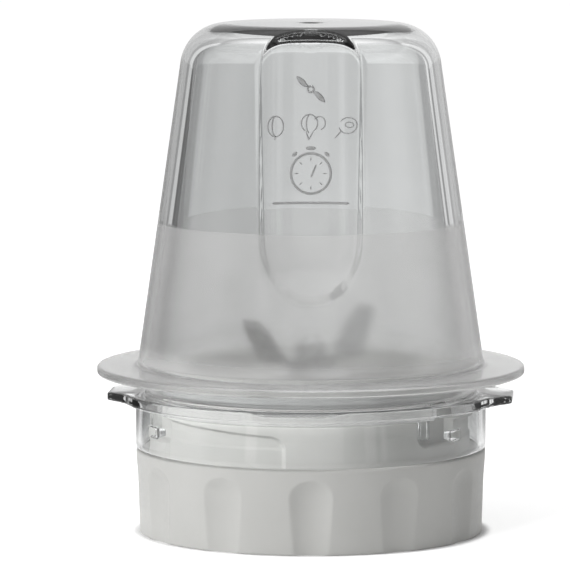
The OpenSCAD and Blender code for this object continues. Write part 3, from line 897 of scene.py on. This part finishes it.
# ---------------------------------------------------------------- studio
# A place to the side is a direction's part across over its part ahead. PAPER_TOP and OVERHEAD are
# heights of a direction of length 1. The floor's lengths are in metres, but those of the painted
# contact shadow round the foot are not.
PAPER_EDGE, PAPER_TOP, PAPER_LIGHT = (0.33, 0.38), (0.55, 0.6), 0.62
GAP_LIGHT = 0.36
SLANT, SLANT_LOW, SLANT_HIGH = 0.15, 0.9, 1.16
SIDE_START, SIDE_END, SIDE_LIGHT = (0.62, 0.66), (0.80, 0.86), 0.4
RIGHT_LIGHT, ROOM_LIGHT = 0.16, 0.16
END_START, END_LIGHT = (1.6, 3.0), 0.4
AMBIENT = 0.5
LAMP_START, LAMP_END, LAMP_LIGHT = (0.9, 0.96), (1.02, 1.08), 0.5
OVERHEAD, OVERHEAD_LIGHT = (0.45, 0.85), 1.1
FLOOR_GLOW = 0.6
# Radii in millimetres over which the floor's glow fades in round the foot: a painted contact shadow.
PAINTED_SHADOW_START, PAINTED_SHADOW_END = FOOT_R + 0.3, FOOT_R + 3.5
FLOOR_BOUNCE = 0.2
NEAR_START, NEAR_END = 0.15, 0.3
FLOOR_REACH = 12.0
KEY_WATTS, KICK_WATTS, RIM_WATTS = 15, 7.5, 0.5


def area_light(name, place, target, size, watts):
    """A lamp that the clear plastic neither mirrors nor shows."""
    lamp = bpy.data.lights.new(name, "AREA")
    lamp.shape = "RECTANGLE"
    lamp.size, lamp.size_y = size
    lamp.energy = watts
    lit = bpy.data.objects.new(name, lamp)
    bpy.context.scene.collection.objects.link(lit)
    lit.location = place
    lit.rotation_euler = (Vector(target) - Vector(place)).to_track_quat("-Z", "Y").to_euler()
    lit.visible_glossy = False
    lit.visible_transmission = False


def maths(nodes, links, operation, *values):
    """A math node's result, from sockets or numbers."""
    step = nodes.new("ShaderNodeMath")
    step.operation = operation
    for socket, value in zip(step.inputs, values):
        if isinstance(value, (int, float)):
            socket.default_value = value
        else:
            links.new(value, socket)
    return step.outputs["Value"]


def ramped(nodes, links, value, start, end, low=0.0, high=1.0):
    """low below start, high above end and a smooth step between."""
    spread = nodes.new("ShaderNodeMapRange")
    spread.interpolation_type = "SMOOTHSTEP"
    for socket, amount in (("From Min", start), ("From Max", end), ("To Min", low), ("To Max", high)):
        spread.inputs[socket].default_value = amount
    links.new(value, spread.inputs["Value"])
    return spread.outputs["Result"]


def backdrop(nodes, links, across, ahead):
    """How bright the studio is along a direction from the object, from its two level components.

    White paper stands behind and in front, brighter to the right, with a greyer gap at each side of it,
    then a side panel and the dim room. The far right has a glow and a narrow lamp, and both ends a glow."""
    depth = maths(nodes, links, "MAXIMUM", maths(nodes, links, "ABSOLUTE", ahead), 0.001)
    side = maths(nodes, links, "DIVIDE", across, depth)
    wide = maths(nodes, links, "ABSOLUTE", side)
    glow = ramped(nodes, links, wide, *PAPER_EDGE, PAPER_LIGHT, GAP_LIGHT)
    slant = ramped(nodes, links, side, -SLANT, SLANT, SLANT_LOW, SLANT_HIGH)
    glow = maths(nodes, links, "MULTIPLY", glow, slant)
    glow = maths(nodes, links, "ADD", glow, ramped(nodes, links, wide, *SIDE_START, 0.0, SIDE_LIGHT))
    glow = maths(nodes, links, "MULTIPLY", glow, ramped(nodes, links, wide, *SIDE_END, 1.0, ROOM_LIGHT))
    right = ramped(nodes, links, side, *SIDE_END, 0.0, RIGHT_LIGHT)
    lamp = ramped(nodes, links, side, *LAMP_START, 0.0, LAMP_LIGHT)
    lamp = maths(nodes, links, "MULTIPLY", lamp, ramped(nodes, links, side, *LAMP_END, 1.0, 0.0))
    glow = maths(nodes, links, "ADD", glow, ramped(nodes, links, wide, *END_START, 0.0, END_LIGHT))
    return maths(nodes, links, "ADD", maths(nodes, links, "ADD", glow, right), lamp)


def after_matt_bounce(nodes, links, path):
    """1 for a ray that has left a matt surface, even through glass, and 0 before that."""
    return maths(nodes, links, "MINIMUM", path.outputs["Diffuse Depth"], 1.0)


def make_world():
    """The backdrop up to its top edge, a dim room above it and a broad light overhead.

    Matt surfaces get only a share AMBIENT of it, so that the lamps shape them."""
    world = bpy.data.worlds.new("studio")
    bpy.context.scene.world = world
    world.use_nodes = True
    nodes, links = world.node_tree.nodes, world.node_tree.links
    x, y, z = axes(nodes, links, "Generated")
    low = ramped(nodes, links, z, *PAPER_TOP, 1.0, 0.0)
    far = maths(nodes, links, "MULTIPLY", backdrop(nodes, links, x, y), low)
    overhead = ramped(nodes, links, z, *OVERHEAD, ROOM_LIGHT, OVERHEAD_LIGHT)
    nodes["Background"].inputs["Color"].default_value = (1, 1, 1, 1)
    bounced = after_matt_bounce(nodes, links, nodes.new("ShaderNodeLightPath"))
    share = maths(nodes, links, "MULTIPLY_ADD", bounced, AMBIENT - 1, 1.0)
    glow = maths(nodes, links, "MULTIPLY", maths(nodes, links, "ADD", far, overhead), share)
    links.new(glow, nodes["Background"].inputs["Strength"])


def floor_paper():
    """White paper. To what the plastic bends or mirrors, it has the backdrop's light and dark parts. Its glow
    fades out close round the foot, a painted contact shadow.
    """
    material, nodes, links, shader = new_material("floor_paper")
    tone = noise(nodes, links, 30)
    links.new(shaded(nodes, links, tone, (0.93, 0.93, 0.93), (0.95, 0.95, 0.95)), shader.inputs["Base Color"])
    shader.inputs["Roughness"].default_value = 0.9
    shader.inputs["Specular IOR Level"].default_value = 0.0
    shader.inputs["Emission Color"].default_value = (1, 1, 1, 1)

    place = nodes.new("ShaderNodeTexCoord")
    away = nodes.new("ShaderNodeVectorMath")
    away.operation = "LENGTH"
    links.new(place.outputs["Object"], away.inputs[0])
    path = nodes.new("ShaderNodeLightPath")
    bounced = after_matt_bounce(nodes, links, path)
    share = maths(nodes, links, "MULTIPLY_ADD", bounced, FLOOR_BOUNCE - 1, 1.0)
    # Painted contact shadow: the floor glows less close round the foot.
    outside_painted_shadow = ramped(nodes, links, away.outputs["Value"], PAINTED_SHADOW_START * MM, PAINTED_SHADOW_END * MM)
    glow = maths(nodes, links, "MULTIPLY", maths(nodes, links, "MULTIPLY", share, outside_painted_shadow), FLOOR_GLOW)
    links.new(glow, shader.inputs["Emission Strength"])

    seen = nodes.new("ShaderNodeEmission")
    x, y, _ = axes(nodes, links)
    links.new(backdrop(nodes, links, x, y), seen.inputs["Strength"])
    near = ramped(nodes, links, away.outputs["Value"], NEAR_START, NEAR_END, 1.0, 0.0)
    plain = maths(nodes, links, "MAXIMUM", path.outputs["Is Camera Ray"], bounced)
    mix = nodes.new("ShaderNodeMixShader")
    links.new(maths(nodes, links, "MAXIMUM", plain, near), mix.inputs["Fac"])
    links.new(seen.outputs["Emission"], mix.inputs[1])
    links.new(shader.outputs["BSDF"], mix.inputs[2])
    links.new(mix.outputs["Shader"], nodes["Material Output"].inputs["Surface"])
    return material


def make_floor():
    """A plain square of paper round the object."""
    reach = FLOOR_REACH
    mesh = bpy.data.meshes.new("floor")
    corners = [(-reach, -reach, 0), (reach, -reach, 0), (reach, reach, 0), (-reach, reach, 0)]
    mesh.from_pydata(corners, [], [(0, 1, 2, 3)])
    floor = bpy.data.objects.new("floor", mesh)
    bpy.context.scene.collection.objects.link(floor)
    mesh.materials.append(floor_paper())


def make_studio():
    """The backdrop, the floor, and three lamps from the left, the front left and behind on the right."""
    make_world()
    make_floor()
    centre = (0, 0, TOP_Z * MM / 2)
    area_light("key_left", (-1.3, -0.55, 0.75), centre, (0.5, 0.9), KEY_WATTS)
    area_light("kick_left", (-0.75, -1.3, 0.45), centre, (0.3, 0.4), KICK_WATTS)
    area_light("rim_right", (1.0, 0.5, 0.55), centre, (0.25, 0.8), RIM_WATTS)
    view = bpy.context.scene.view_settings
    view.view_transform, view.look = "Standard", "None"
    view.exposure, view.gamma = 0.0, 1.0


# ---------------------------------------------------------------- camera
# Lens and sensor are in millimetres and places are in metres.
CAMERA_LENS, CAMERA_SENSOR = 316.5, 36.0
CAMERA_SHIFT = (-0.0453, -0.0132)
CAMERA_PLACE, CAMERA_AIM = Vector((0, -1.5148, 0.2342)), Vector((0, 0, 0.0773))


def make_camera():
    """A long lens, a little above the object, as in the photograph."""
    camera = bpy.data.cameras.new("camera")
    camera.lens, camera.sensor_width = CAMERA_LENS, CAMERA_SENSOR
    camera.shift_x, camera.shift_y = CAMERA_SHIFT
    camera.clip_start, camera.clip_end = 0.05, 50
    seat = bpy.data.objects.new("camera", camera)
    bpy.context.scene.collection.objects.link(seat)
    seat.location = CAMERA_PLACE
    seat.rotation_euler = (CAMERA_AIM - seat.location).to_track_quat("-Z", "Y").to_euler()
    bpy.context.scene.camera = seat


# ---------------------------------------------------------------- assembly
make_camera()
make_studio()
finish_cad_nodes()
make_beaker()
make_skirt()
make_marks()
make_collar()
make_base()
